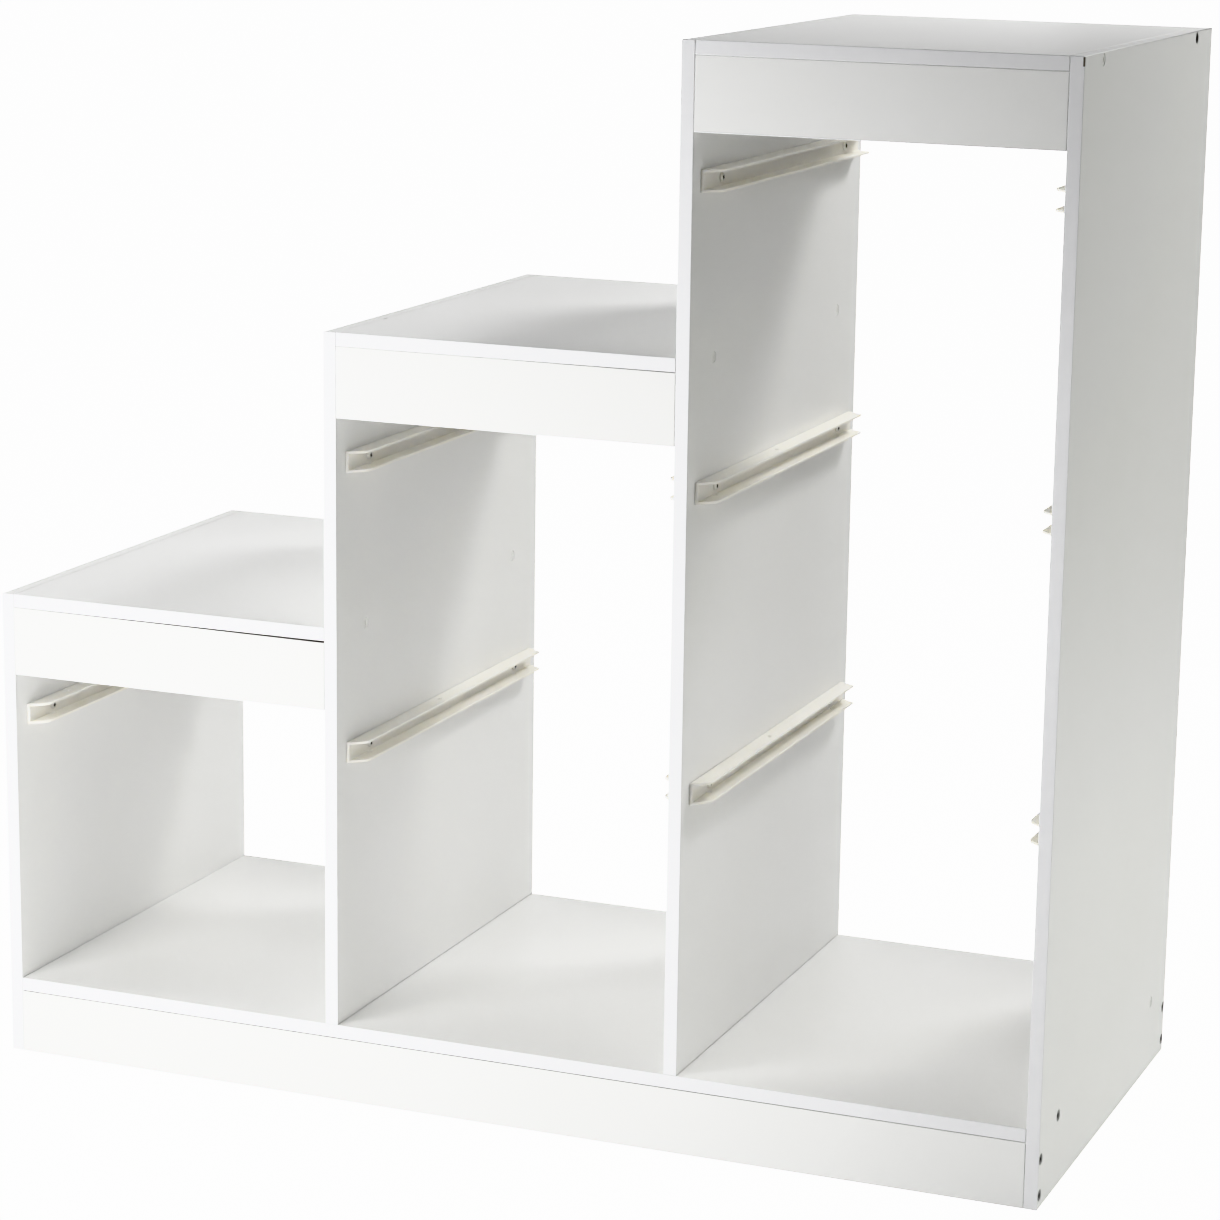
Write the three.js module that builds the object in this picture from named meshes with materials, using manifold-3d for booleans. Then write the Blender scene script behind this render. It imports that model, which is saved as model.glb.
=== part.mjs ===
// A staircase bookshelf: three equal bays of foiled particleboard that step up from left to right,
// with moulded plastic runners that carry slide-in boxes.
// Millimetres, +Z up, the open front faces -Y. The origin is on the floor under the middle of the frame.
import * as THREE from "three";
import { mergeVertices } from "three/addons/utils/BufferGeometryUtils.js";
import Module from "manifold-3d";

const wasm = await Module();
wasm.setup();

// Frame
const frameWidth = 990;
const frameDepth = 440;
const boardThickness = 12;
const lowStepHeight = 436; // floor to the first step
const stepRise = 262; // from each step to the next
const plinthHeight = 59;
const railHeight = 62;
const railTopGap = 0.8; // the dark line between a rail and its top board
const seamGap = 0.2; // between two boards that butt together

// Box runners, one C-shaped moulding that is turned over for the right-hand side of a bay
const runnerHeight = 18.8;
const runnerReach = 16; // how far the two flanges stand out from the upright
const webThickness = 2.5;
const flangeThickness = 2.2;
const runnerDrop = 116.4; // from a step's top face down to the middle of its runner row
const runnerFrontSetback = 18.5;
const runnerRearSetback = 18;
const noseFlat = 1.5; // the blunt start of the slanted nose of both flanges
const noseLength = 12.5;
const noseRounding = 5; // where the nose turns into the long edge
const rearCutLength = 7.5; // the slanted cut at the rear end of both flanges
const rearCutReach = 13;
const flangeHoleRadius = 2.2;
const flangeHoleReach = 8; // from the upright to the hole in the upper flange
const flangeHoleFromFront = 181;
const lowFlangeHoleFromFront = 62; // the low bay's runners have it nearer the front
const coreSlotLength = 7; // the moulding slot under each screw
const coreSlotWidth = 2.4;

// Runner screws: only their holes are part of this model
const runnerScrewInset = 41; // from each end of the runner
const runnerScrewHoleRadius = 2.3;
const pilotRadius = 1.6;
const pilotDepthShare = 0.45; // of a board, so that holes from both faces never meet

// Carcass screws: countersunk, with a hexagon socket
const screwLength = 50;
const shankRadius = 2.5;
const screwTipLength = 5;
const headRadius = 5;
const headRim = 0.8;
const headCone = 2.6;
const headSink = 0.4; // how far a head lies below the face of its board
const socketRadius = 2.4;
const socketDepth = 2.4;
const socketSides = 6;
const screwFromEdge = 58; // from the front and rear edges of a board
const plinthScrewFromFloor = 12;
const plinthScrewBelowBoard = 15;

// Rail dowels
const dowelRadius = 3;
const dowelInRail = 20;
const dowelSocketShare = 0.65; // of the upright's thickness
const dowelChamfer = 0.8;

// Clearances and roundness
const fitGap = 0.3; // round every fastener
const overrun = 5; // how far a cutting shape runs past the face that it opens
const roundSides = 14;
const noseSteps = 6;
const mergeDistance = 1e-3; // between two corners that count as one

// Places worked out from the sizes above
const bayNames = ["low", "middle", "high"];
const uprightNames = ["left_side_panel", "low_divider", "high_divider", "right_side_panel"];
const halfWidth = frameWidth / 2;
const front = -frameDepth / 2;
const rear = frameDepth / 2;
const bayWidth = (frameWidth - boardThickness * (bayNames.length + 1)) / bayNames.length;
const bayPitch = bayWidth + boardThickness;
const floorTop = plinthHeight + boardThickness;
const screwRows = { front: front + screwFromEdge, rear: rear - screwFromEdge };
const stepTop = (bay) => lowStepHeight + bay * stepRise;
const uprightLeft = (index) => -halfWidth + index * bayPitch;
const uprightRight = (index) => uprightLeft(index) + boardThickness;

// Materials
const foil = new THREE.MeshStandardMaterial({ color: 0xf1f1ee, roughness: 0.45, metalness: 0 });
const runnerPlastic = new THREE.MeshStandardMaterial({ color: 0xeeece2, roughness: 0.4, metalness: 0 });
const screwSteel = new THREE.MeshStandardMaterial({ color: 0x5f5f5e, roughness: 0.35, metalness: 1 });
const dowelBeech = new THREE.MeshStandardMaterial({ color: 0xd8b98a, roughness: 0.7, metalness: 0 });

// A closed geometry as a solid that can be cut
function solidOf(geometry) {
  const bare = geometry.clone();
  bare.deleteAttribute("normal");
  bare.deleteAttribute("uv");
  const merged = mergeVertices(bare, mergeDistance);
  return new wasm.Manifold(
    new wasm.Mesh({
      numProp: 3,
      vertProperties: merged.attributes.position.array,
      triVerts: new Uint32Array(merged.index.array),
    }),
  );
}

function geometryOf(solid) {
  const { vertProperties, triVerts } = solid.getMesh();
  const geometry = new THREE.BufferGeometry();
  geometry.setAttribute("position", new THREE.BufferAttribute(vertProperties, 3));
  geometry.setIndex(new THREE.BufferAttribute(triVerts, 1));
  geometry.computeVertexNormals();
  return geometry;
}

// Takes the space of each placed cutter out of a placed mesh
function cutHoles(mesh, cutters) {
  mesh.updateMatrix();
  const toMesh = mesh.matrix.clone().invert();
  let solid = solidOf(mesh.geometry);
  for (const cutter of cutters) {
    cutter.updateMatrix();
    const shape = cutter.geometry.clone().applyMatrix4(cutter.matrix).applyMatrix4(toMesh);
    solid = solid.subtract(solidOf(shape));
  }
  mesh.geometry = geometryOf(solid);
}

function boxBetween(low, high) {
  const size = new THREE.Vector3().subVectors(high, low);
  return new THREE.BoxGeometry(size.x, size.y, size.z);
}

function board(name, low, high) {
  const lowCorner = new THREE.Vector3(...low);
  const highCorner = new THREE.Vector3(...high);
  const mesh = new THREE.Mesh(boxBetween(lowCorner, highCorner), foil);
  mesh.position.addVectors(lowCorner, highCorner).divideScalar(2);
  mesh.name = name;
  return mesh;
}

// Uprights: the side panels run to the floor, the dividers stand on the bottom board
function makeUprights() {
  const lastUpright = uprightNames.length - 1;
  return uprightNames.map((name, index) => {
    const foot = index === 0 || index === lastUpright ? 0 : floorTop + seamGap;
    const top = stepTop(Math.min(index, bayNames.length - 1));
    return board(name, [uprightLeft(index), front, foot], [uprightRight(index), rear, top]);
  });
}

// The bottom board and both plinths span the whole frame between the side panels
function makeBase() {
  const left = uprightRight(0) + seamGap;
  const right = uprightLeft(bayNames.length) - seamGap;
  const plinthTop = plinthHeight - seamGap;
  return [
    board("bottom_board", [left, front, plinthHeight], [right, rear, floorTop]),
    board("front_plinth", [left, front, 0], [right, front + boardThickness, plinthTop]),
    board("rear_plinth", [left, rear - boardThickness, 0], [right, rear, plinthTop]),
  ];
}

const railTop = (bay) => stepTop(bay) - boardThickness - railTopGap;

// Each bay has a top board flush with its step, and a rail under its front edge
function makeTopsAndRails() {
  return bayNames.flatMap((bayName, bay) => {
    const left = uprightRight(bay) + seamGap;
    const right = uprightLeft(bay + 1) - seamGap;
    const top = stepTop(bay);
    const railBack = front + boardThickness;
    return [
      board(bayName + "_top_board", [left, front, top - boardThickness], [right, rear, top]),
      board(bayName + "_rail", [left, front, railTop(bay) - railHeight], [right, railBack, railTop(bay)]),
    ];
  });
}

// Points a shape that runs down its own Y axis along a direction, with its own origin at a place
function place(object, at, into) {
  const down = new THREE.Vector3(0, -1, 0);
  object.quaternion.setFromUnitVectors(down, new THREE.Vector3(...into));
  object.position.set(...at);
  return object;
}

// A screw's outline from its tip to the top of its head, grown by a gap all round
function screwOutline(gap, above) {
  const radius = shankRadius + gap;
  return [
    new THREE.Vector2(0, -screwLength - gap),
    new THREE.Vector2(radius, screwTipLength - screwLength),
    new THREE.Vector2(radius, -headRim - headCone),
    new THREE.Vector2(headRadius + gap, -headRim),
    new THREE.Vector2(headRadius + gap, above),
    new THREE.Vector2(0, above),
  ];
}

function makeScrewGeometry() {
  const body = solidOf(new THREE.LatheGeometry(screwOutline(0, 0), roundSides));
  const socketHeight = socketDepth + overrun;
  const socket = new THREE.CylinderGeometry(socketRadius, socketRadius, socketHeight, socketSides);
  socket.translate(0, socketHeight / 2 - socketDepth, 0);
  return geometryOf(body.subtract(solidOf(socket)));
}

const screwGeometry = makeScrewGeometry();
const screwHoleGeometry = new THREE.LatheGeometry(screwOutline(fitGap, headSink + overrun), roundSides);

// A screw whose head lies in the face at the given place, and that holds the named boards together
function carcassScrew(name, at, into, boards) {
  const sunk = at.map((value, axis) => value + into[axis] * headSink);
  const screw = place(new THREE.Mesh(screwGeometry, screwSteel), sunk, into);
  screw.name = name;
  const hole = place(new THREE.Mesh(screwHoleGeometry), sunk, into);
  return { piece: screw, hole, boards };
}

// Both side panels are screwed to their top board, the bottom board and the two plinths
function sidePanelScrews(panelName, face, inward, topBoardName, top) {
  const boardMiddle = boardThickness / 2;
  const into = [inward, 0, 0];
  const screws = [];
  for (const [end, y] of Object.entries(screwRows)) {
    const topAt = [face, y, top - boardMiddle];
    const bottomAt = [face, y, plinthHeight + boardMiddle];
    const name = panelName + "_screw_";
    screws.push(carcassScrew(name + "top_" + end, topAt, into, [panelName, topBoardName]));
    screws.push(carcassScrew(name + "bottom_" + end, bottomAt, into, [panelName, "bottom_board"]));
  }
  const plinthMiddles = { front: front + boardMiddle, rear: rear - boardMiddle };
  const levels = { lower: plinthScrewFromFloor, upper: plinthHeight - plinthScrewBelowBoard };
  for (const [end, y] of Object.entries(plinthMiddles)) {
    for (const [level, z] of Object.entries(levels)) {
      const name = panelName + "_screw_" + end + "_plinth_" + level;
      screws.push(carcassScrew(name, [face, y, z], into, [panelName, end + "_plinth"]));
    }
  }
  return screws;
}

// A divider is screwed to the top board on each side of it, and up through the bottom board
function dividerScrews(dividerName, index, lowerBay) {
  const boardMiddle = boardThickness / 2;
  const higherBay = lowerBay + 1;
  const lowerBoard = bayNames[lowerBay] + "_top_board";
  const higherBoard = bayNames[higherBay] + "_top_board";
  const lowerZ = stepTop(lowerBay) - boardMiddle;
  const higherZ = stepTop(higherBay) - boardMiddle;
  const middle = uprightLeft(index) + boardMiddle;
  return Object.entries(screwRows).flatMap(([end, y]) => [
    carcassScrew(dividerName + "_screw_" + lowerBoard + "_" + end,
      [uprightRight(index), y, lowerZ], [-1, 0, 0], [dividerName, lowerBoard]),
    carcassScrew(dividerName + "_screw_" + higherBoard + "_" + end,
      [uprightLeft(index), y, higherZ], [1, 0, 0], [dividerName, higherBoard]),
    carcassScrew("bottom_board_screw_" + dividerName + "_" + end,
      [middle, y, plinthHeight], [0, 0, 1], ["bottom_board", dividerName]),
  ]);
}

// Each end of a rail hangs on a dowel that goes part of the way into the upright
function railDowels() {
  const inUpright = boardThickness * dowelSocketShare;
  const halfLength = (dowelInRail + inUpright) / 2;
  const tip = dowelRadius - dowelChamfer;
  const shoulder = halfLength - dowelChamfer;
  const dowelGeometry = new THREE.LatheGeometry(
    [
      new THREE.Vector2(0, -halfLength),
      new THREE.Vector2(tip, -halfLength),
      new THREE.Vector2(dowelRadius, -shoulder),
      new THREE.Vector2(dowelRadius, shoulder),
      new THREE.Vector2(tip, halfLength),
      new THREE.Vector2(0, halfLength),
    ],
    roundSides,
  );
  const holeRadius = dowelRadius + fitGap;
  const holeLength = 2 * (halfLength + fitGap);
  const holeGeometry = new THREE.CylinderGeometry(holeRadius, holeRadius, holeLength, roundSides);
  return bayNames.flatMap((bayName, bay) => {
    const z = railTop(bay) - railHeight / 2;
    const y = front + boardThickness / 2;
    const ends = [
      { side: "left", face: uprightRight(bay), upright: uprightNames[bay], inward: 1 },
      { side: "right", face: uprightLeft(bay + 1), upright: uprightNames[bay + 1], inward: -1 },
    ];
    return ends.map(({ side, face, upright, inward }) => {
      const at = [face + inward * (halfLength - inUpright), y, z];
      const into = [inward, 0, 0];
      const piece = place(new THREE.Mesh(dowelGeometry, dowelBeech), at, into);
      piece.name = bayName + "_rail_dowel_" + side;
      const hole = place(new THREE.Mesh(holeGeometry), at, into);
      return { piece, hole, boards: [upright, bayName + "_rail"] };
    });
  });
}

// The outline of a runner seen from above: x from the upright, y from the front of the runner
function runnerOutline(length) {
  const corner = new THREE.Vector2(runnerReach, noseLength);
  const slant = new THREE.Vector2(noseFlat, 0).sub(corner).setLength(noseRounding).add(corner);
  const outline = new THREE.Shape();
  outline.moveTo(0, 0);
  outline.lineTo(noseFlat, 0);
  outline.lineTo(slant.x, slant.y);
  outline.quadraticCurveTo(corner.x, corner.y, runnerReach, noseLength + noseRounding);
  outline.lineTo(runnerReach, length - rearCutLength);
  outline.lineTo(runnerReach - rearCutReach, length);
  outline.lineTo(0, length);
  return outline;
}

const runnerLength = frameDepth - runnerFrontSetback - runnerRearSetback;
const runnerScrewPlaces = [runnerScrewInset, runnerLength - runnerScrewInset];

// A left-hand runner: its back lies on x = 0, its front end on y = 0, and z = 0 is at its mid-height
function makeRunnerGeometry(holeFromFront) {
  const outer = new THREE.ExtrudeGeometry(runnerOutline(runnerLength), {
    depth: runnerHeight,
    bevelEnabled: false,
    curveSegments: noseSteps,
  });
  outer.translate(0, 0, -runnerHeight / 2);
  const channelHeight = runnerHeight - 2 * flangeThickness;
  const channel = new THREE.BoxGeometry(runnerReach, runnerLength + 2 * overrun, channelHeight);
  channel.translate(webThickness + runnerReach / 2, runnerLength / 2, 0);
  const flangeHole = new THREE.CylinderGeometry(
    flangeHoleRadius, flangeHoleRadius, 2 * flangeThickness, roundSides);
  flangeHole.rotateX(Math.PI / 2);
  flangeHole.translate(flangeHoleReach, holeFromFront, runnerHeight / 2);
  const cutters = [channel, flangeHole];
  for (const y of runnerScrewPlaces) {
    const screwHole = new THREE.CylinderGeometry(
      runnerScrewHoleRadius, runnerScrewHoleRadius, 2 * (webThickness + overrun), roundSides);
    screwHole.rotateZ(Math.PI / 2);
    screwHole.translate(0, y, 0);
    const slot = new THREE.BoxGeometry(coreSlotWidth, coreSlotLength, 2 * flangeThickness);
    slot.translate(webThickness + coreSlotWidth / 2, y, -runnerHeight / 2);
    cutters.push(screwHole, slot);
  }
  const solid = cutters.reduce((rest, cutter) => rest.subtract(solidOf(cutter)), solidOf(outer));
  return geometryOf(solid);
}

// Every bay has one runner pair under its own step and one under each lower step
function makeRunners() {
  const pilotDepth = boardThickness * pilotDepthShare;
  const pilotLength = pilotDepth + overrun;
  const pilotGeometry = new THREE.CylinderGeometry(pilotRadius, pilotRadius, pilotLength, roundSides);
  pilotGeometry.translate(0, (overrun - pilotDepth) / 2, 0);
  const runners = [];
  for (const [bay, bayName] of bayNames.entries()) {
    const geometry = makeRunnerGeometry(bay === 0 ? lowFlangeHoleFromFront : flangeHoleFromFront);
    for (let row = 0; row <= bay; row++) {
      const z = stepTop(row) - runnerDrop;
      const sides = [
        { side: "left", face: uprightRight(bay), upright: uprightNames[bay], inward: 1 },
        { side: "right", face: uprightLeft(bay + 1), upright: uprightNames[bay + 1], inward: -1 },
      ];
      for (const { side, face, upright, inward } of sides) {
        const piece = new THREE.Mesh(geometry, runnerPlastic);
        piece.name = bayName + "_bay_runner_" + (row + 1) + "_" + side;
        piece.rotation.y = inward > 0 ? 0 : Math.PI; // turned over on the right-hand side of a bay
        piece.position.set(face + inward * seamGap, front + runnerFrontSetback, z);
        const pilots = runnerScrewPlaces.map((y) =>
          place(new THREE.Mesh(pilotGeometry), [face, front + runnerFrontSetback + y, z], [-inward, 0, 0]),
        );
        runners.push({ piece, pilots, upright });
      }
    }
  }
  return runners;
}

// Puts the frame together: every board first, then what fastens it, then the holes for those
function makeBookshelf() {
  const group = new THREE.Group();
  group.name = "staircase_bookshelf";
  const boards = [...makeUprights(), ...makeBase(), ...makeTopsAndRails()];
  const holes = new Map(boards.map((mesh) => [mesh.name, []]));
  const fasteners = [
    ...sidePanelScrews("left_side_panel", -halfWidth, 1, "low_top_board", stepTop(0)),
    ...sidePanelScrews("right_side_panel", halfWidth, -1, "high_top_board", stepTop(2)),
    ...dividerScrews("low_divider", 1, 0),
    ...dividerScrews("high_divider", 2, 1),
    ...railDowels(),
  ];
  const runners = makeRunners();
  for (const { hole, boards: names } of fasteners) names.forEach((name) => holes.get(name).push(hole));
  for (const { pilots, upright } of runners) holes.get(upright).push(...pilots);
  boards.forEach((mesh) => cutHoles(mesh, holes.get(mesh.name)));
  group.add(...boards, ...runners.map(({ piece }) => piece), ...fasteners.map(({ piece }) => piece));
  return group;
}

export default makeBookshelf();
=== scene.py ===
# A staircase bookshelf of white foiled boards with moulded box runners, in a plain pale studio.
# Everything is in metres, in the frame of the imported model: the open front faces -Y, and the steps rise
# towards +X.
import math

import bmesh
import bpy
from mathutils import Matrix, Vector


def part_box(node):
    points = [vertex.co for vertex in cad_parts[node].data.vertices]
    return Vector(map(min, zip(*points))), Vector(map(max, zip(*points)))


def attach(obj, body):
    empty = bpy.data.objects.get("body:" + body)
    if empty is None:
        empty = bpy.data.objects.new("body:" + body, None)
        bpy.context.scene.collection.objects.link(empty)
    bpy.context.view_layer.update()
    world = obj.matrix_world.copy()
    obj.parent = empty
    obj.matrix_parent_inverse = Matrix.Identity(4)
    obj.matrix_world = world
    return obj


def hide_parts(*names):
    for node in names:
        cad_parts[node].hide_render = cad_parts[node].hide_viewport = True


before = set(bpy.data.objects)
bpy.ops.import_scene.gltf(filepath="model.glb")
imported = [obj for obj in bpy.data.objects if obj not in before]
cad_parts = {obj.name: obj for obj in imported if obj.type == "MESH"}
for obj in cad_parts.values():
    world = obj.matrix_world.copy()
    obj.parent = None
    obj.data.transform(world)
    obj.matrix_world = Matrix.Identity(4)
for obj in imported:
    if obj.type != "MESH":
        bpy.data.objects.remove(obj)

mm = 0.001
scene = bpy.context.scene
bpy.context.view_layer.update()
print("frame:", len(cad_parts), "pieces of the packed model")


# Camera: the place and the turn that the photograph's straight edges give
camera = {
    "place": (1219.4, -2978.0, 1148.6),  # mm
    "heading": 21.0,  # degrees, to the left of straight ahead
    "tilt": -12.595,
    "roll": 1.027,
    "lens": 106.13,  # mm, on a sensor 36 mm wide
    "sensor": 36,
    "photoSide": 1220,  # pixels
    "opticalCentre": (675.5, 605.1),  # pixels from the photograph's top left corner
}


def makeCamera():
    data = bpy.data.cameras.new("studio camera")
    data.lens = camera["lens"]
    data.sensor_width = camera["sensor"]
    side = camera["photoSide"]
    acrossCentre, downCentre = camera["opticalCentre"]
    data.shift_x = (side / 2 - acrossCentre) / side
    data.shift_y = (downCentre - side / 2) / side
    heading, tilt, roll = (math.radians(camera[turn]) for turn in ("heading", "tilt", "roll"))
    turn = Matrix.Rotation(heading, 4, "Z") @ Matrix.Rotation(math.pi / 2 + tilt, 4, "X")
    holder = bpy.data.objects.new("studio camera", data)
    holder.matrix_world = (
        Matrix.Translation(Vector(camera["place"]) * mm) @ turn @ Matrix.Rotation(roll, 4, "Z")
    )
    scene.collection.objects.link(holder)
    scene.camera = holder


makeCamera()
print("camera: placed")


# sRGB hex to the linear values that Blender's sockets take
def linearColour(hexColour):
    channels = [int(hexColour[start:start + 2], 16) / 255 for start in (0, 2, 4)]
    return [c / 12.92 if c <= 0.04045 else ((c + 0.055) / 1.055) ** 2.4 for c in channels] + [1]


# A texture's scale for a pattern of that size in millimetres
def patternScale(size):
    return 1 / (size * mm)


# One node: settings are properties or socket values, links are sockets that feed it
def addNode(tree, kind, settings={}, links={}):
    node = tree.nodes.new(kind)
    for name, value in settings.items():
        if isinstance(name, str) and hasattr(node, name):
            setattr(node, name, value)
        else:
            node.inputs[name].default_value = value
    for name, socket in links.items():
        tree.links.new(socket, node.inputs[name])
    return node


# A new material, with its shader set, and the piece's own coordinates in metres
def startMaterial(name, settings):
    material = bpy.data.materials.new(name)
    material.use_nodes = True
    tree = material.node_tree
    shader = tree.nodes["Principled BSDF"]
    for socket, value in settings.items():
        shader.inputs[socket].default_value = value
    coordinates = addNode(tree, "ShaderNodeTexCoord").outputs["Object"]
    return material, tree, shader, coordinates


# Melamine foil, hot-pressed on particleboard: a satin white that drifts a little across a board,
# with the faint pearl of the press plate in its highlights
foil = {
    "colour": "f2f2f1",
    "drift": "eeeeec",
    "driftSize": 210,  # mm
    "roughness": (0.36, 0.44),
    "ior": 1.5,
    "pearlSize": 1.6,  # mm; the real pearl is 0.4 mm, drawn coarser so that it shows
    "pearlDepth": 0.01,
}


def makeFoil():
    material, tree, shader, coordinates = startMaterial("melamine foil", {"IOR": foil["ior"]})
    drift = addNode(tree, "ShaderNodeTexNoise",
                    {"Scale": patternScale(foil["driftSize"]), "Detail": 3}, {"Vector": coordinates})
    colour = addNode(tree, "ShaderNodeMix",
                     {"data_type": "RGBA", 6: linearColour(foil["colour"]), 7: linearColour(foil["drift"])},
                     {0: drift.outputs["Fac"]})
    tree.links.new(colour.outputs[2], shader.inputs["Base Color"])
    smooth, dull = foil["roughness"]
    roughness = addNode(tree, "ShaderNodeMapRange", {"To Min": smooth, "To Max": dull},
                        {"Value": drift.outputs["Fac"]})
    tree.links.new(roughness.outputs["Result"], shader.inputs["Roughness"])
    pearl = addNode(tree, "ShaderNodeTexNoise",
                    {"Scale": patternScale(foil["pearlSize"]), "Detail": 2}, {"Vector": coordinates})
    bump = addNode(tree, "ShaderNodeBump", {"Strength": 0.4, "Distance": foil["pearlDepth"] * mm},
                   {"Height": pearl.outputs["Fac"]})
    tree.links.new(bump.outputs["Normal"], shader.inputs["Normal"])
    return material


# ABS edge band: a moulded plastic strip, cooler and a little glossier than the foil,
# with fine marks along it from the scraper that trimmed it
band = {
    "colour": "f1f1f2",
    "scraped": "ebebed",
    "scraperSpan": 14,  # mm between marks along the board
    "roughness": 0.32,
    "ior": 1.53,
}


def makeBand():
    material, tree, shader, coordinates = startMaterial(
        "ABS edge band", {"IOR": band["ior"], "Roughness": band["roughness"]})
    marks = addNode(tree, "ShaderNodeTexNoise",
                    {"Scale": patternScale(band["scraperSpan"]), "Detail": 4, "Roughness": 0.6},
                    {"Vector": coordinates})
    colour = addNode(tree, "ShaderNodeMix",
                     {"data_type": "RGBA", 6: linearColour(band["colour"]), 7: linearColour(band["scraped"])},
                     {0: marks.outputs["Fac"]})
    tree.links.new(colour.outputs[2], shader.inputs["Base Color"])
    return material


# The hot-melt line between band and foil: a hair of grey that comes and goes
glue = {"colour": "b9b8b2", "faded": "dedcd6", "patchSize": 9, "roughness": 0.6}  # mm


def makeGlue():
    material, tree, shader, coordinates = startMaterial(
        "hot-melt glue line", {"Roughness": glue["roughness"]})
    patches = addNode(tree, "ShaderNodeTexNoise",
                      {"Scale": patternScale(glue["patchSize"]), "Detail": 3}, {"Vector": coordinates})
    colour = addNode(tree, "ShaderNodeMix",
                     {"data_type": "RGBA", 6: linearColour(glue["colour"]), 7: linearColour(glue["faded"])},
                     {0: patches.outputs["Fac"]})
    tree.links.new(colour.outputs[2], shader.inputs["Base Color"])
    return material


# Injection-moulded polypropylene: warm off-white, satin, slightly translucent at its thin edges,
# with flow marks along the length
polypropylene = {
    "colour": "f8f5ee",
    "flow": "f3f0e6",
    "flowLength": 90,  # mm
    "flowWidth": 6,
    "roughness": (0.38, 0.5),
    "ior": 1.49,
    "glow": 0.5,
    "glowReach": (1, 0.94, 0.78),  # red, green, blue
    "glowDepth": 4,  # mm
    "grainSize": 1.2,  # mm; real spark-erosion grain is 0.2 mm, drawn coarser so that it shows
    "grainDepth": 0.02,
}


def makePolypropylene():
    material, tree, shader, coordinates = startMaterial("moulded polypropylene", {
        "IOR": polypropylene["ior"],
        "Subsurface Weight": polypropylene["glow"],
        "Subsurface Radius": polypropylene["glowReach"],
        "Subsurface Scale": polypropylene["glowDepth"] * mm,
    })
    length, width = patternScale(polypropylene["flowLength"]), patternScale(polypropylene["flowWidth"])
    stretched = addNode(tree, "ShaderNodeMapping", {"Scale": (width, length, width)}, {"Vector": coordinates})
    flow = addNode(tree, "ShaderNodeTexNoise", {"Scale": 1, "Detail": 3},
                   {"Vector": stretched.outputs["Vector"]})
    colour = addNode(tree, "ShaderNodeMix", {
        "data_type": "RGBA",
        6: linearColour(polypropylene["colour"]),
        7: linearColour(polypropylene["flow"]),
    }, {0: flow.outputs["Fac"]})
    tree.links.new(colour.outputs[2], shader.inputs["Base Color"])
    smooth, dull = polypropylene["roughness"]
    roughness = addNode(tree, "ShaderNodeMapRange", {"To Min": smooth, "To Max": dull},
                        {"Value": flow.outputs["Fac"]})
    tree.links.new(roughness.outputs["Result"], shader.inputs["Roughness"])
    grain = addNode(tree, "ShaderNodeTexNoise",
                    {"Scale": patternScale(polypropylene["grainSize"])}, {"Vector": coordinates})
    bump = addNode(tree, "ShaderNodeBump", {"Strength": 0.5, "Distance": polypropylene["grainDepth"] * mm},
                   {"Height": grain.outputs["Fac"]})
    tree.links.new(bump.outputs["Normal"], shader.inputs["Normal"])
    return material


# Steel for the two kinds of screw: plating that is a little cloudy from the barrel it was plated in
steels = {
    "zinc-plated steel": {
        "colour": "8c8c8a", "cloud": "6a6a68", "roughness": (0.28, 0.42), "cloudSize": 2.5},  # mm
    "bright zinc-plated steel": {
        "colour": "e9e8e3", "cloud": "d9d7d1", "roughness": (0.3, 0.42), "cloudSize": 1.5},
    # Dark steel for the walls and floor of the runner screws' cross recesses: painted shade
    "steel darkened as recess shade": {
        "colour": "4a4844", "cloud": "35332f", "roughness": (0.35, 0.5), "cloudSize": 1.5},
}


def makeSteel(name):
    steel = steels[name]
    material, tree, shader, coordinates = startMaterial(name, {"Metallic": 1})
    cloud = addNode(tree, "ShaderNodeTexNoise",
                    {"Scale": patternScale(steel["cloudSize"]), "Detail": 3}, {"Vector": coordinates})
    colour = addNode(tree, "ShaderNodeMix",
                     {"data_type": "RGBA", 6: linearColour(steel["colour"]), 7: linearColour(steel["cloud"])},
                     {0: cloud.outputs["Fac"]})
    tree.links.new(colour.outputs[2], shader.inputs["Base Color"])
    smooth, dull = steel["roughness"]
    roughness = addNode(tree, "ShaderNodeMapRange", {"To Min": smooth, "To Max": dull},
                        {"Value": cloud.outputs["Fac"]})
    tree.links.new(roughness.outputs["Result"], shader.inputs["Roughness"])
    return material


# Beech: pale reddish brown, with the short dark flecks of its rays along the grain
beech = {
    "colour": "d8b98c",
    "fleck": "b98f60",
    "fleckLength": 4,  # mm
    "fleckWidth": 0.5,
    "roughness": 0.62,
}


def makeBeech():
    material, tree, shader, coordinates = startMaterial("beech", {"Roughness": beech["roughness"]})
    length, width = patternScale(beech["fleckLength"]), patternScale(beech["fleckWidth"])
    stretched = addNode(tree, "ShaderNodeMapping", {"Scale": (length, width, width)}, {"Vector": coordinates})
    flecks = addNode(tree, "ShaderNodeTexNoise", {"Scale": 1, "Detail": 4},
                     {"Vector": stretched.outputs["Vector"]})
    mask = addNode(tree, "ShaderNodeMapRange", {"From Min": 0.5, "From Max": 0.7},
                   {"Value": flecks.outputs["Fac"]})
    colour = addNode(tree, "ShaderNodeMix",
                     {"data_type": "RGBA", 6: linearColour(beech["colour"]), 7: linearColour(beech["fleck"])},
                     {0: mask.outputs["Result"]})
    tree.links.new(colour.outputs[2], shader.inputs["Base Color"])
    return material


# White stoving lacquer on some of the screw heads: glossier than the foil, with a faint orange peel
lacquer = {"colour": "f0f0ed", "roughness": 0.3, "ior": 1.5, "peelSize": 1.4, "peelDepth": 0.03}  # mm


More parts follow.
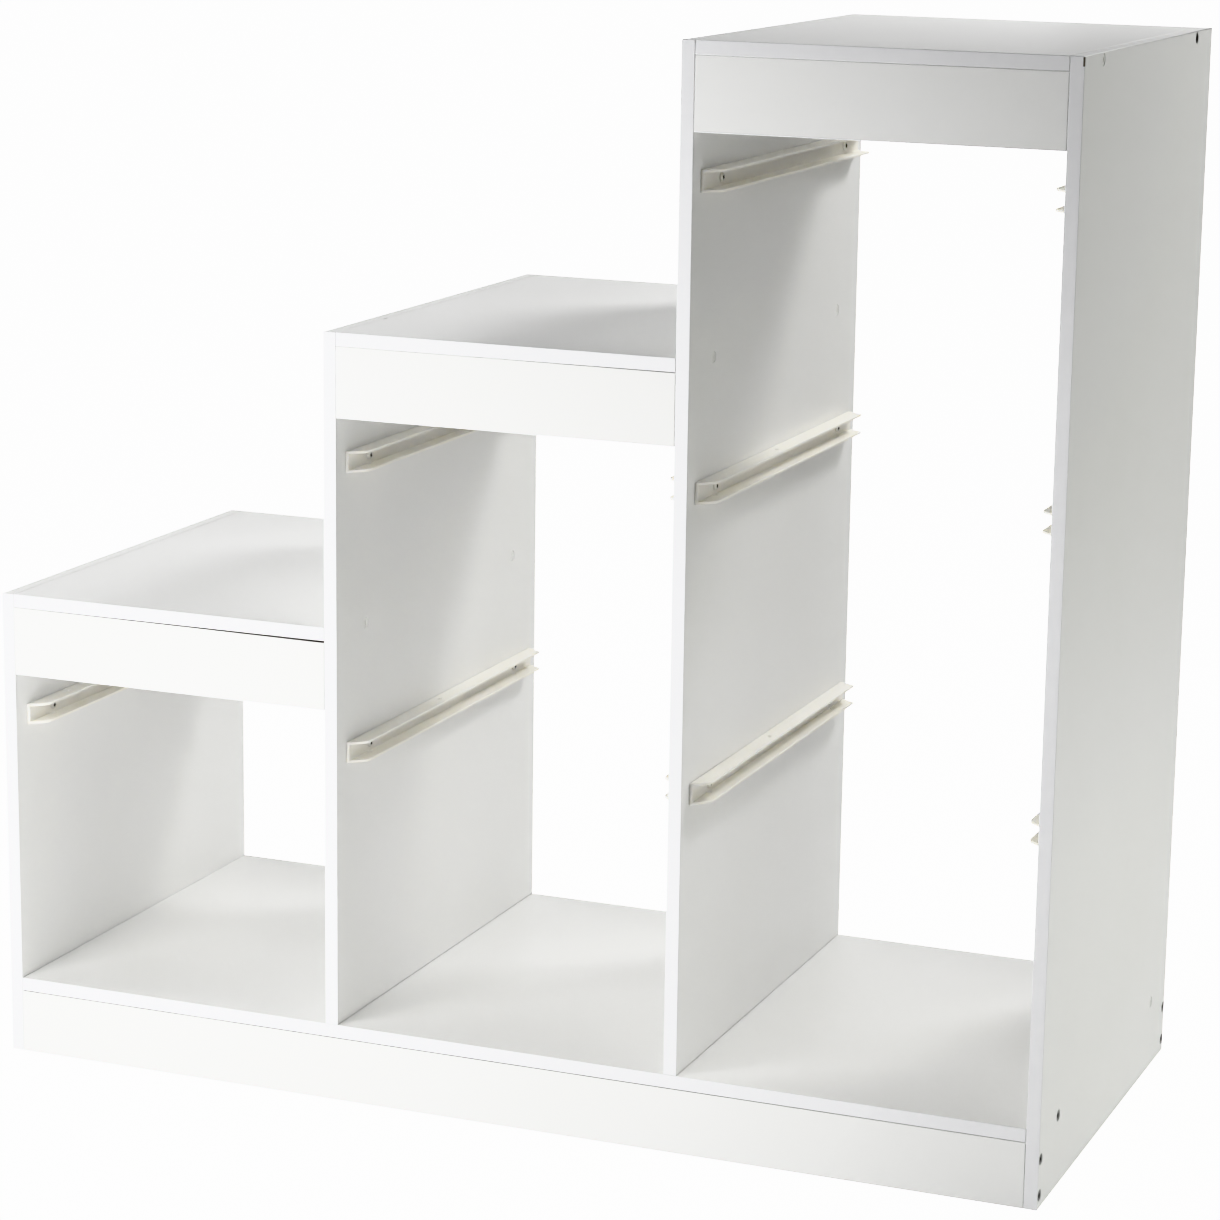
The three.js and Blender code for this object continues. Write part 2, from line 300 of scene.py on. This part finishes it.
def makeLacquer():
    material, tree, shader, coordinates = startMaterial("white stoving lacquer", {
        "Base Color": linearColour(lacquer["colour"]),
        "Roughness": lacquer["roughness"],
        "IOR": lacquer["ior"],
    })
    peel = addNode(tree, "ShaderNodeTexNoise",
                   {"Scale": patternScale(lacquer["peelSize"]), "Detail": 1}, {"Vector": coordinates})
    bump = addNode(tree, "ShaderNodeBump", {"Strength": 0.5, "Distance": lacquer["peelDepth"] * mm},
                   {"Height": peel.outputs["Fac"]})
    tree.links.new(bump.outputs["Normal"], shader.inputs["Normal"])
    return material


# Bare particleboard, which shows in the seams and where an arris is chipped: brown chips of wood, coarse and
# dull.
# It is drawn darker than bare board, so that the seams it lines also carry painted shade.
particleboard = {"colour": "857e75", "chip": "4a4641", "chipSize": 2.5, "roughness": 0.9}  # mm


def makeParticleboard():
    material, tree, shader, coordinates = startMaterial(
        "bare particleboard darkened for seam shade", {"Roughness": particleboard["roughness"]})
    chipped = addNode(tree, "ShaderNodeTexNoise",
                      {"Scale": patternScale(particleboard["chipSize"]), "Detail": 3},
                      {"Vector": coordinates})
    colour = addNode(tree, "ShaderNodeMix", {
        "data_type": "RGBA",
        6: linearColour(particleboard["colour"]),
        7: linearColour(particleboard["chip"]),
    }, {0: chipped.outputs["Fac"]})
    tree.links.new(colour.outputs[2], shader.inputs["Base Color"])
    return material


materials = {
    "foil": makeFoil(),
    "band": makeBand(),
    "glue": makeGlue(),
    "plastic": makePolypropylene(),
    "zinc": makeSteel("zinc-plated steel"),
    "brightZinc": makeSteel("bright zinc-plated steel"),
    "black": makeSteel("steel darkened as recess shade"),
    "lacquer": makeLacquer(),
    "particleboard": makeParticleboard(),
    "beech": makeBeech(),
}
print("materials:", ", ".join(material.name for material in materials.values()))


weldDistance = 0.001 * mm
flatAngle = math.radians(1)
alongAxis = 0.99  # the least part of a face's normal along an axis that it is square to


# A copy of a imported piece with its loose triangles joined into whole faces
def mergedCopy(node):
    bm = bmesh.new()
    bm.from_mesh(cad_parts[node].data)
    bmesh.ops.remove_doubles(bm, verts=bm.verts, dist=weldDistance)
    bmesh.ops.dissolve_limit(bm, angle_limit=flatAngle, verts=bm.verts, edges=bm.edges)
    return bm


# Makes a finished mesh an object that rides on the frame
def finishPiece(bm, name, slots, replaced=()):
    mesh = bpy.data.meshes.new(name)
    bm.to_mesh(mesh)
    bm.free()
    piece = bpy.data.objects.new(name, mesh)
    scene.collection.objects.link(piece)
    for slot in slots:
        mesh.materials.append(materials[slot])
    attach(piece, "root")
    if replaced:
        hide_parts(*replaced)


# Boards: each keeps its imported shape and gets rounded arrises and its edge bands.
# A band is seen as a strip as wide as it is thick, with the glue line beside it.
# The ends of the boards that run across, hidden against the uprights, are bare.
boards = {
    "arris": 0.5,  # mm, radius
    "arrisSteps": 3,
    "bandThickness": 1.0,
    "glueLine": 0.2,
    "bandedFrontAndRear": ["left_side_panel", "low_divider", "high_divider", "right_side_panel",
                           "bottom_board", "low_top_board", "middle_top_board", "high_top_board"],
    "bandedTopAndBottom": ["low_rail", "middle_rail", "high_rail", "front_plinth", "rear_plinth"],
}
boardSlots = ["foil", "band", "glue", "particleboard"]
foilSlot, bandSlot, glueSlot, bareBoardAndSeamShadeSlot = range(len(boardSlots))


# Two chipped arrises: axis 0, 1 or 2, and the high (1) or low (0) side of the two faces that meet there
chips = {
    "right_side_panel": {"along": 2, "span": (952, 959.4), "corner": {0: 1, 1: 0}, "width": 1.4},  # mm
    "middle_top_board": {"along": 1, "span": (-127, -119), "corner": {0: 0, 2: 1}, "width": 1.2},
}


# The top edge of a rail or of the front plinth is hidden and bare, and its dark bare board paints shade into
# the seam. How far it stands above its packed place at the left end, the middle and the right end leaves the
# seam nearly shut under the high step, a hair open over the plinth, and opening to the right under the lower
# two steps.
bareTops = {  # mm
    "low_rail": (0.45, -0.15, -1.1),
    "middle_rail": (0.6, 0.5, 0.3),
    "high_rail": (0.65, 0.65, 0.65),
    "front_plinth": (-0.5, -0.45, -0.15),
}


def bareTop(bm, rises, low, high):
    middle = (low.x + high.x) / 2
    bmesh.ops.bisect_plane(bm, geom=bm.verts[:] + bm.edges[:] + bm.faces[:], dist=weldDistance,
                           plane_co=(middle, 0, 0), plane_no=(1, 0, 0))
    top = high.z - (boards["bandThickness"] + boards["glueLine"]) * mm
    for face in bm.faces:
        if face.calc_center_median().z > top:
            # the upward face takes the dark bare board: painted shade in the seam above it
            face.material_index = bareBoardAndSeamShadeSlot if face.normal.z > alongAxis else foilSlot
    for vert in bm.verts:
        if vert.co.z > top - weldDistance:
            share = (vert.co.x - middle) / (high.x - middle)
            end = rises[2] if share > 0 else rises[0]
            vert.co.z += (rises[1] + (end - rises[1]) * abs(share)) * mm


# Cuts the outline of a chip into the two faces beside an arris, and gives what lies in it the bare board
def chipArris(bm, chip, box):
    along, (start, end) = chip["along"], (level * mm for level in chip["span"])
    axes = [Vector([axis == other for other in range(3)]) for axis in range(3)]

    def inSpan(face):
        return start < face.calc_center_median()[along] < end

    for level in (start, end):
        bmesh.ops.bisect_plane(bm, geom=bm.verts[:] + bm.edges[:] + bm.faces[:], dist=weldDistance,
                               plane_co=axes[along] * level, plane_no=axes[along])
    inner = {axis: box[side][axis] + (1 - 2 * side) * chip["width"] * mm
             for axis, side in chip["corner"].items()}
    for axis, level in inner.items():
        faces = [face for face in bm.faces if inSpan(face)]
        parts = {part for face in faces for part in (*face.verts, *face.edges)}
        bmesh.ops.bisect_plane(bm, geom=faces + list(parts), dist=weldDistance,
                               plane_co=axes[axis] * level, plane_no=axes[axis])
    for face in filter(inSpan, bm.faces):
        at = face.calc_center_median()
        if all((at[axis] - level) * (2 * chip["corner"][axis] - 1) > 0 for axis, level in inner.items()):
            face.material_index = bareBoardAndSeamShadeSlot


def makeBoard(node, bandAxis):
    low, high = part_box(node)
    bm = mergedCopy(node)
    bandDepth = boards["bandThickness"] * mm
    glueDepth = bandDepth + boards["glueLine"] * mm
    across = Vector((0, 0, 0))
    across[bandAxis] = 1
    for depth in (bandDepth, glueDepth):
        for level in (low[bandAxis] + depth, high[bandAxis] - depth):
            bmesh.ops.bisect_plane(bm, geom=bm.verts[:] + bm.edges[:] + bm.faces[:], dist=weldDistance,
                                   plane_co=across * level, plane_no=across)

    def sidesTouched(vert):
        return {(axis, side) for axis in range(3) for side, corner in enumerate((low, high))
                if abs(vert.co[axis] - corner[axis]) < weldDistance}

    arrises = [edge for edge in bm.edges
               if len(sidesTouched(edge.verts[0]) & sidesTouched(edge.verts[1])) == 2]
    rounded = bmesh.ops.bevel(bm, geom=arrises, offset=boards["arris"] * mm, offset_type="OFFSET",
                              affect="EDGES", segments=boards["arrisSteps"], profile=0.5, material=-1)
    for face in rounded["faces"]:
        face.smooth = True
    size = high - low
    runsAcross = size.x > min(size)
    for face in bm.faces:
        at = face.calc_center_median()[bandAxis]
        depth = min(at - low[bandAxis], high[bandAxis] - at)
        face.material_index = bandSlot if depth < bandDepth else glueSlot if depth < glueDepth else foilSlot
        if runsAcross and abs(face.normal.x) > alongAxis:
            face.material_index = bareBoardAndSeamShadeSlot
    if node in chips:
        chipArris(bm, chips[node], (low, high))
    if node in bareTops:
        bareTop(bm, bareTops[node], low, high)
    finishPiece(bm, node + "_foiled", boardSlots, [node])


for node in boards["bandedFrontAndRear"]:
    makeBoard(node, 1)
for node in boards["bandedTopAndBottom"]:
    makeBoard(node, 2)
print("boards: rounded and banded")


# Runners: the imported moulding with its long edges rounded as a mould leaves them
runners = {
    "edge": 0.4,  # mm, radius
    "edgeSteps": 2,
    "shortestEdge": 1.5,  # mm; the rims of the screw holes stay sharp under the heads
    "sharpAngle": 40,  # degrees
}
runnerNodes = sorted(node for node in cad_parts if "_runner_" in node)


def makeRunner(node):
    bm = mergedCopy(node)
    sharp = math.radians(runners["sharpAngle"])
    edges = [edge for edge in bm.edges
             if edge.calc_length() > runners["shortestEdge"] * mm and edge.calc_face_angle(0) > sharp]
    rounded = bmesh.ops.bevel(bm, geom=edges, offset=runners["edge"] * mm, offset_type="OFFSET",
                              affect="EDGES", segments=runners["edgeSteps"], profile=0.5, material=-1)
    for face in rounded["faces"]:
        face.smooth = True
    finishPiece(bm, node + "_moulding", ["plastic"], [node])


for node in runnerNodes:
    makeRunner(node)
print("runners:", len(runnerNodes))


# Screws are modelled head up on the Z axis, with the seat or the face of the head at z = 0, and then placed
roundSteps = 36
belowTop = 0.01  # mm; what lies no lower than this is the top


def spinOutline(bm, outline):
    corners = [bm.verts.new((radius * mm, 0, height * mm)) for radius, height in outline]
    edges = [bm.edges.new(pair) for pair in zip(corners, corners[1:])]
    bmesh.ops.spin(bm, geom=corners + edges, cent=(0, 0, 0), axis=(0, 0, 1), dvec=(0, 0, 0),
                   angle=2 * math.pi, steps=roundSteps, use_merge=True)
    bmesh.ops.remove_doubles(bm, verts=bm.verts, dist=weldDistance)


# A helical ridge, wound by turning a small triangle while it climbs
def windThread(bm, core, crest, thickness, pitch, start, end):
    steps = 12  # to a turn
    turns = (end - start) / pitch
    ridge = [bm.verts.new((radius * mm, 0, (start + lift) * mm))
             for radius, lift in ((core, -thickness / 2), (crest, 0), (core, thickness / 2))]
    face = bm.faces.new(ridge)
    bmesh.ops.spin(bm, geom=ridge + list(face.edges) + [face], cent=(0, 0, 0), axis=(0, 0, 1),
                   dvec=(0, 0, pitch * mm / steps), angle=turns * 2 * math.pi, steps=round(turns * steps))


# Sinks a recess of that outline into the open top of a head
def sinkRecess(bm, radiusAt, top, depth, floorShare):
    rim = [edge for edge in bm.edges if edge.is_boundary and edge.verts[0].co.z > (top - belowTop) * mm]
    ring = bmesh.ops.extrude_edge_only(bm, edges=rim)["geom"]
    for vert in (item for item in ring if isinstance(item, bmesh.types.BMVert)):
        angle = math.atan2(vert.co.y, vert.co.x)
        vert.co.xy = Vector((math.cos(angle), math.sin(angle))) * radiusAt(angle) * mm
    inner = [item for item in ring if isinstance(item, bmesh.types.BMEdge) and item.is_boundary]
    walls = bmesh.ops.extrude_edge_only(bm, edges=inner)["geom"]
    bottom = [item for item in walls if isinstance(item, bmesh.types.BMVert)]
    for vert in bottom:
        vert.co.xy *= floorShare
        vert.co.z -= depth * mm
    bmesh.ops.contextual_create(bm, geom=[item for item in walls
                                          if isinstance(item, bmesh.types.BMEdge) and item.is_boundary])


def placeFastener(bm, head, into, turn):
    aim = Vector((0, 0, -1)).rotation_difference(into).to_matrix().to_4x4()
    bmesh.ops.recalc_face_normals(bm, faces=bm.faces)
    bmesh.ops.transform(bm, matrix=Matrix.Translation(head) @ aim @ Matrix.Rotation(turn, 4, "Z"),
                        verts=bm.verts)


# Where a packed fastener has its head, and which way it points
def headAndAim(node):
    low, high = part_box(node)
    size, middle = high - low, (low + high) / 2
    axis = max(range(3), key=lambda index: size[index])
    aside = Vector((1, 1, 1))
    aside[axis] = 0
    widest = max(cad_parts[node].data.vertices, key=lambda vert: ((vert.co - middle) * aside).length)
    side = 1 if widest.co[axis] > middle[axis] else -1
    head, into = middle.copy(), Vector((0, 0, 0))
    head[axis] = high[axis] if side > 0 else low[axis]
    into[axis] = -side
    return head, into


# Carcass screws: a countersunk head with a hexagon socket, and a coarse thread cut for particleboard
carcassScrews = {
    "length": 50,  # mm
    "headRadius": 5,
    "headFlat": 1,  # width of the ring round the socket
    "headRim": 0.8,
    "cone": 2.6,
    "edge": 0.25,  # softened corner of the rim
    "shank": 2.45,
    "shoulder": 1,
    "core": 1.9,
    "threadStart": 14,  # from the head
    "tip": 5,
    "pitch": 3,
    "threadThickness": 1.3,
    "threadRoot": 0.2,  # how far the thread's ridge reaches into the core
    "crest": 2.5,
    "socketFlats": 4,  # mm across
    "socketTaper": 0.96,  # width of the floor, as a share of the mouth
    "socketDepth": 2.4,
    "lacqueredDepth": 0.5,  # of a socket that the lacquer has filled
    "turnStep": 37,  # degrees from one screw to the next
}


# The heads in the dividers are lacquered white, and so is the bottom-rear head in the right side panel. The
# top-front head there is drawn white too, as a painted reflection of the bright surroundings in its plated
# head.
headFinishesAndPaintedReflection = {
    "right_side_panel_screw_top_front": "lacquer",
    "right_side_panel_screw_bottom_rear": "lacquer",
}


def makeCarcassScrew(node, turn):
    spec = carcassScrews
    finish = headFinishesAndPaintedReflection.get(node, "lacquer" if "_divider_screw_" in node else "zinc")
    bm = bmesh.new()
    spinOutline(bm, [
        (spec["headRadius"] - spec["headFlat"], 0),
        (spec["headRadius"] - spec["edge"], 0),
        (spec["headRadius"], -spec["edge"]),
        (spec["headRadius"], -spec["headRim"]),
        (spec["shank"], -spec["headRim"] - spec["cone"]),
        (spec["shank"], -spec["threadStart"]),
        (spec["core"], -spec["threadStart"] - spec["shoulder"]),
        (spec["core"], spec["tip"] - spec["length"]),
        (0, -spec["length"]),
    ])
    flat = spec["socketFlats"] / 2
    side = math.radians(60)
    depth = spec["lacqueredDepth" if finish == "lacquer" else "socketDepth"]
    sinkRecess(bm, lambda angle: flat / math.cos((angle % side) - side / 2), 0, depth, spec["socketTaper"])
    windThread(bm, spec["core"] - spec["threadRoot"], spec["crest"], spec["threadThickness"], spec["pitch"],
               spec["tip"] - spec["length"], -spec["threadStart"] - spec["shoulder"])
    for face in bm.faces:
        face.material_index = face.calc_center_median().z > -spec["headRim"] * mm
    head, into = headAndAim(node)
    placeFastener(bm, head, into, turn)
    finishPiece(bm, node + "_threaded", ["zinc", finish], [node])


screwNodes = sorted(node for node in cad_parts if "_screw_" in node)
for index, node in enumerate(screwNodes):
    makeCarcassScrew(node, math.radians(index * carcassScrews["turnStep"]))
print("carcass screws:", len(screwNodes))


# Runner screws: small pan heads with a cross recess, two to a runner, that sit on its web. The recess is
# lined with dark steel as painted shade.
runnerScrews = {
    "inset": 41,  # mm from each end of the runner
    "web": 2.5,
    "dome": [(2.1, 2.4), (3.1, 2.1), (3.8, 1.4), (4, 0.6), (3.9, 0), (1.45, 0)],  # radius, height
    "neck": 0.4,  # height of the cone under the head
    "core": 1.1,
    "crest": 1.5,
    "reach": 7.4,  # from the seat of the head to the point
    "threadStart": 1.5,
    "tip": 2,
    "pitch": 1.3,
    "threadThickness": 0.6,
    "threadRoot": 0.15,
    "recessArm": 1.95,
    "recessWidth": 1.4,
    "recessDepth": 1.7,
    "recessTaper": 0.6,
    "turnStep": 53,  # degrees
}


# How far the outline of the cross lies from the screw's axis, in mm, in the direction of an angle
def crossRadius(angle):
    fromArm = abs((angle + math.pi / 4) % (math.pi / 2) - math.pi / 4)
    leastSine = 0.01
    halfWidth = runnerScrews["recessWidth"] / 2
    return min(runnerScrews["recessArm"] / math.cos(fromArm), halfWidth / max(math.sin(fromArm), leastSine))


def makeRunnerScrew(name, head, into, turn):
    spec = runnerScrews
    bm = bmesh.new()
    top = spec["dome"][0][1]
    spinOutline(bm, spec["dome"] + [
        (spec["core"], -spec["neck"]),
        (spec["core"], spec["tip"] - spec["reach"]),
        (0, -spec["reach"]),
    ])
    outerFaces = set(bm.faces)
    sinkRecess(bm, crossRadius, top, spec["recessDepth"], spec["recessTaper"])
    # The walls and floor of the cross recess take the dark steel, as painted shade in the recess
    for face in set(bm.faces) - outerFaces:
        face.material_index = face.calc_center_median().z < (top - belowTop) * mm
    windThread(bm, spec["core"] - spec["threadRoot"], spec["crest"], spec["threadThickness"], spec["pitch"],
               spec["tip"] - spec["reach"], -spec["threadStart"])
    placeFastener(bm, head, into, turn)
    finishPiece(bm, name, ["brightZinc", "black"])


for index, node in enumerate(runnerNodes):
    low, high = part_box(node)
    inward = 1 if node.endswith("_left") else -1
    webFace = (low.x if inward > 0 else high.x) + inward * runnerScrews["web"] * mm
    places = {"front": low.y + runnerScrews["inset"] * mm, "rear": high.y - runnerScrews["inset"] * mm}
    for end, y in places.items():
        turn = math.radians((2 * index + (end == "rear")) * runnerScrews["turnStep"])
        head = Vector((webFace, y, (low.z + high.z) / 2))
        makeRunnerScrew(node.replace("_runner_", "_runner_screw_") + "_" + end, head,
                        Vector((-inward, 0, 0)), turn)
print("runner screws:", 2 * len(runnerNodes))


# Dowels: fluted beech pins with chamfered ends
dowels = {"flutes": 18, "fluteDepth": 0.2, "chamfer": 0.8}  # mm
dowelNodes = sorted(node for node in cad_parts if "_dowel_" in node)


def makeDowel(node):
    low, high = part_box(node)
    radius, chamfer = (high.z - low.z) / 2, dowels["chamfer"] * mm
    bm = bmesh.new()
    lastRing = []
    for x, ringRadius in ((low.x, radius - chamfer), (low.x + chamfer, radius),
                          (high.x - chamfer, radius), (high.x, radius - chamfer)):
        centre = Vector((x, (low.y + high.y) / 2, (low.z + high.z) / 2))
        place = Matrix.Translation(centre) @ Matrix.Rotation(math.pi / 2, 4, "Y")
        verts = bmesh.ops.create_circle(bm, cap_ends=x in (low.x, high.x), radius=ringRadius,
                                        segments=2 * dowels["flutes"], matrix=place)["verts"]
        for vert in verts[::2]:
            vert.co += (centre - vert.co).normalized() * dowels["fluteDepth"] * mm
        ring = list({edge for vert in verts for edge in vert.link_edges})
        if lastRing:
            bmesh.ops.bridge_loops(bm, edges=lastRing + ring)
        lastRing = ring
    bmesh.ops.recalc_face_normals(bm, faces=bm.faces)
    finishPiece(bm, node + "_fluted", ["beech"], [node])


for node in dowelNodes:
    makeDowel(node)
print("dowels:", len(dowelNodes))


# Studio: white paper on the floor that the camera sees bleached out, and soft lights near the frame.
# The key stands high behind the right side and shines through the open back onto the uprights.
studio = {
    "floorSide": 60000,  # mm
    "floorDrop": 0.3,
    "paperColour": "f4f4f4",
    "bleach": 5,  # how far the paper and the air behind it are overexposed, for the camera alone
}
aimOfLights = (0, 0, 450)  # mm
greenish = (0.99, 1, 0.95)  # the tone that the right face has in the photograph
softboxes = {  # mm and watts
    "right rear key": {"place": (860, 1010, 1880), "size": (300, 300), "power": 15.2},
    "right rear softbox": {"place": (1000, 1400, 1700), "size": (600, 600), "power": 7.5},
    "high rear softbox": {"place": (0, 1500, 2200), "size": (1500, 800), "power": 9.4},
    "left rear softbox": {"place": (-1200, 1500, 1200), "size": (800, 800), "power": 3.5},
    "far rear softbox": {"place": (-900, 3000, 1100), "size": (1000, 1000), "power": 4.6},
    "left softbox": {"place": (-1500, 0, 500), "size": (800, 800), "power": 22.6},
    "near left softbox": {"place": (-600, -900, 500), "size": (400, 400), "power": 5.8},
    "near front softbox": {"place": (0, -1100, 450), "size": (400, 400), "power": 2.9},
    "high front softbox": {"place": (-400, -900, 1200), "size": (400, 400), "power": 2.8},
    "floor bounce": {"place": (-300, -700, 10), "size": (800, 300), "power": 3.9},
    "low right softbox": {"place": (1800, -600, 300), "size": (800, 800), "power": 5, "colour": greenish},
    "right strip softbox": {"place": (1800, 300, 250), "size": (800, 400), "power": 4.8, "colour": greenish},
}


def makeFloor():
    material, tree, shader, _ = startMaterial("bleached studio paper", {
        "Base Color": linearColour(studio["paperColour"]),
        "Roughness": 1,
        "Emission Color": linearColour(studio["paperColour"]),
    })
    sight = addNode(tree, "ShaderNodeLightPath").outputs["Is Camera Ray"]
    bleach = addNode(tree, "ShaderNodeMath", {"operation": "MULTIPLY", 1: studio["bleach"]}, {0: sight})
    tree.links.new(bleach.outputs["Value"], shader.inputs["Emission Strength"])
    side = studio["floorSide"] / 2 * mm
    bm = bmesh.new()
    bmesh.ops.create_grid(bm, x_segments=1, y_segments=1, size=side,
                          matrix=Matrix.Translation((0, 0, -studio["floorDrop"] * mm)))
    mesh = bpy.data.meshes.new("studio floor")
    bm.to_mesh(mesh)
    bm.free()
    mesh.materials.append(material)
    floor = bpy.data.objects.new("studio floor", mesh)
    scene.collection.objects.link(floor)


def makeSoftbox(name, spec):
    data = bpy.data.lights.new(name, "AREA")
    data.shape = "RECTANGLE"
    data.size, data.size_y = (side * mm for side in spec["size"])
    data.energy = spec["power"]
    data.color = spec.get("colour", (1, 1, 1))
    place, aim = Vector(spec["place"]) * mm, Vector(aimOfLights) * mm
    turn = (aim - place).to_track_quat("-Z", "Y").to_matrix().to_4x4()
    holder = bpy.data.objects.new(name, data)
    holder.matrix_world = Matrix.Translation(place) @ turn
    scene.collection.objects.link(holder)


def makeWorld():
    world = bpy.data.worlds.new("studio air")
    scene.world = world
    world.use_nodes = True
    background = world.node_tree.nodes["Background"]
    background.inputs["Color"].default_value = linearColour(studio["paperColour"])
    background.inputs["Strength"].default_value = studio["bleach"]
    world.cycles_visibility.diffuse = world.cycles_visibility.glossy = False


makeFloor()
makeWorld()
for name, spec in softboxes.items():
    makeSoftbox(name, spec)
scene.view_settings.view_transform = "Khronos PBR Neutral"
print("studio: floor, world and", len(softboxes), "softboxes")
